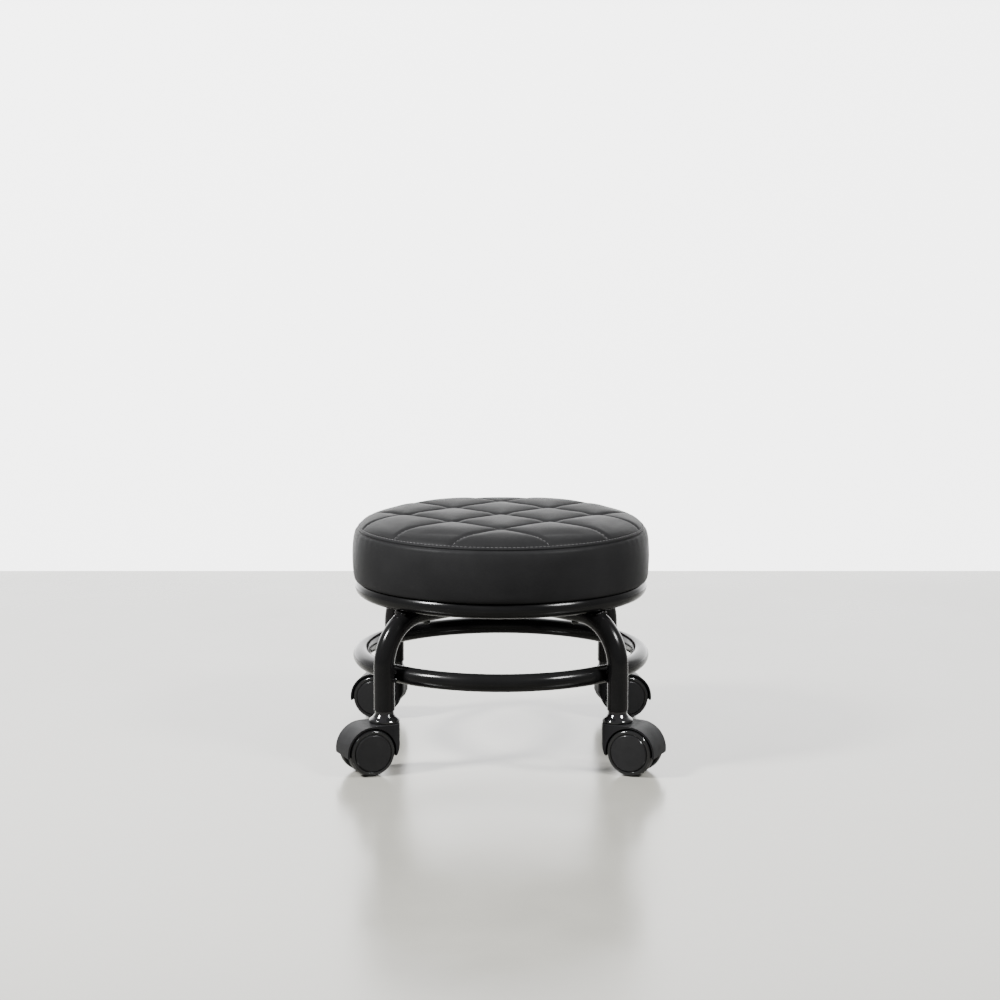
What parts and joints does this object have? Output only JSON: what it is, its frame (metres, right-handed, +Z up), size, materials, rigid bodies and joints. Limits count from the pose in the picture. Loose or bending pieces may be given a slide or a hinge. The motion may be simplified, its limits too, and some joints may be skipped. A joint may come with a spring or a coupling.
{
  "type": "rolling stylist stool",
  "caption": "Low round stool: a quilted black cushion on a welded tube frame with a foot ring, on hooded twin-wheel swivel casters.",
  "frame": {"origin": "on the floor under the seat's axis, in the middle of the stool's footprint", "axes": "+Z up; +X to the right and +Y to the back, with the legs on the diagonals between them"},
  "size_m": [0.3492, 0.3254, 0.2608],
  "materials": {
    "leatherette": "black grained vinyl leather, satin",
    "wadding": "white polyester wadding",
    "foam": "open cell polyurethane foam",
    "plywood": "unfinished birch plywood",
    "dust_cloth": "black spun bonded cloth",
    "gloss_tube": "gloss black coated steel tube",
    "gloss_plastic": "gloss black moulding",
    "nylon": "satin black nylon",
    "wheel_plastic": "black polyurethane, polished rim",
    "cap_plastic": "matte black moulding",
    "sleeve_plastic": "black plastic",
    "zinc_steel": "zinc plated steel",
    "black_bolt": "black oxide steel"
  },
  "bodies": {
    "frame": {"cover_top_panel": "leatherette", "cover_side_band": "leatherette", "quilt_wadding": "wadding", "seat_foam": "foam", "seat_board": "plywood", "dust_cover": "dust_cloth", "upper_ring": "gloss_tube", "lower_ring": "gloss_tube", "through_leg_tube": "gloss_tube", "front_right_leg_tube": "gloss_tube", "back_left_leg_tube": "gloss_tube", "front_left_seat_bolt": "black_bolt", "front_left_seat_spacer": "sleeve_plastic", "front_left_t_nut": "zinc_steel", "front_left_stem_socket": "sleeve_plastic", "front_left_leg_collar": "gloss_plastic", "front_left_caster_stem": "zinc_steel", "front_right_seat_bolt": "black_bolt", "front_right_seat_spacer": "sleeve_plastic", "front_right_t_nut": "zinc_steel", "front_right_stem_socket": "sleeve_plastic", "front_right_leg_collar": "gloss_plastic", "front_right_caster_stem": "zinc_steel", "back_left_seat_bolt": "black_bolt", "back_left_seat_spacer": "sleeve_plastic", "back_left_t_nut": "zinc_steel", "back_left_stem_socket": "sleeve_plastic", "back_left_leg_collar": "gloss_plastic", "back_left_caster_stem": "zinc_steel", "back_right_seat_bolt": "black_bolt", "back_right_seat_spacer": "sleeve_plastic", "back_right_t_nut": "zinc_steel", "back_right_stem_socket": "sleeve_plastic", "back_right_leg_collar": "gloss_plastic", "back_right_caster_stem": "zinc_steel"},
    "front_left_caster": {"front_left_caster_hood": "nylon", "front_left_axle": "zinc_steel"},
    "front_left_left_wheel": {"front_left_left_wheel": "wheel_plastic", "front_left_left_wheel_cap": "cap_plastic"},
    "front_left_right_wheel": {"front_left_right_wheel": "wheel_plastic", "front_left_right_wheel_cap": "cap_plastic"},
    "front_right_caster": {"front_right_caster_hood": "nylon", "front_right_axle": "zinc_steel"},
    "front_right_left_wheel": {"front_right_left_wheel": "wheel_plastic", "front_right_left_wheel_cap": "cap_plastic"},
    "front_right_right_wheel": {"front_right_right_wheel": "wheel_plastic", "front_right_right_wheel_cap": "cap_plastic"},
    "back_left_caster": {"back_left_caster_hood": "nylon", "back_left_axle": "zinc_steel"},
    "back_left_left_wheel": {"back_left_left_wheel": "wheel_plastic", "back_left_left_wheel_cap": "cap_plastic"},
    "back_left_right_wheel": {"back_left_right_wheel": "wheel_plastic", "back_left_right_wheel_cap": "cap_plastic"},
    "back_right_caster": {"back_right_caster_hood": "nylon", "back_right_axle": "zinc_steel"},
    "back_right_left_wheel": {"back_right_left_wheel": "wheel_plastic", "back_right_left_wheel_cap": "cap_plastic"},
    "back_right_right_wheel": {"back_right_right_wheel": "wheel_plastic", "back_right_right_wheel_cap": "cap_plastic"}
  },
  "joints": [
    {"name": "front_left_swivel", "type": "hinge", "parent": "frame", "child": "front_left_caster", "pos_m": [-0.12304, -0.12304, 0.053], "axis": [0, 0, 1], "continuous": true},
    {"name": "front_left_left_wheel_spin", "type": "hinge", "parent": "front_left_caster", "child": "front_left_left_wheel", "pos_m": [-0.13619, -0.14293, 0.025], "axis": [0.3987, -0.9171, 0], "continuous": true},
    {"name": "front_left_right_wheel_spin", "type": "hinge", "parent": "front_left_caster", "child": "front_left_right_wheel", "pos_m": [-0.14656, -0.11909, 0.025], "axis": [0.3987, -0.9171, 0], "continuous": true},
    {"name": "front_right_swivel", "type": "hinge", "parent": "frame", "child": "front_right_caster", "pos_m": [0.12304, -0.12304, 0.053], "axis": [0, 0, 1], "continuous": true},
    {"name": "front_right_left_wheel_spin", "type": "hinge", "parent": "front_right_caster", "child": "front_right_left_wheel", "pos_m": [0.14656, -0.11909, 0.025], "axis": [0.3987, 0.9171, 0], "continuous": true},
    {"name": "front_right_right_wheel_spin", "type": "hinge", "parent": "front_right_caster", "child": "front_right_right_wheel", "pos_m": [0.13619, -0.14293, 0.025], "axis": [0.3987, 0.9171, 0], "continuous": true},
    {"name": "back_left_swivel", "type": "hinge", "parent": "frame", "child": "back_left_caster", "pos_m": [-0.12304, 0.12304, 0.053], "axis": [0, 0, 1], "continuous": true},
    {"name": "back_left_left_wheel_spin", "type": "hinge", "parent": "back_left_caster", "child": "back_left_left_wheel", "pos_m": [-0.14507, 0.1139, 0.025], "axis": [-0.1822, -0.9833, 0], "continuous": true},
    {"name": "back_left_right_wheel_spin", "type": "hinge", "parent": "back_left_caster", "child": "back_left_right_wheel", "pos_m": [-0.14033, 0.13946, 0.025], "axis": [-0.1822, -0.9833, 0], "continuous": true},
    {"name": "back_right_swivel", "type": "hinge", "parent": "frame", "child": "back_right_caster", "pos_m": [0.12304, 0.12304, 0.053], "axis": [0, 0, 1], "continuous": true},
    {"name": "back_right_left_wheel_spin", "type": "hinge", "parent": "back_right_caster", "child": "back_right_left_wheel", "pos_m": [0.14033, 0.13946, 0.025], "axis": [-0.1822, 0.9833, 0], "continuous": true},
    {"name": "back_right_right_wheel_spin", "type": "hinge", "parent": "back_right_caster", "child": "back_right_right_wheel", "pos_m": [0.14507, 0.1139, 0.025], "axis": [-0.1822, 0.9833, 0], "continuous": true}
  ]
}
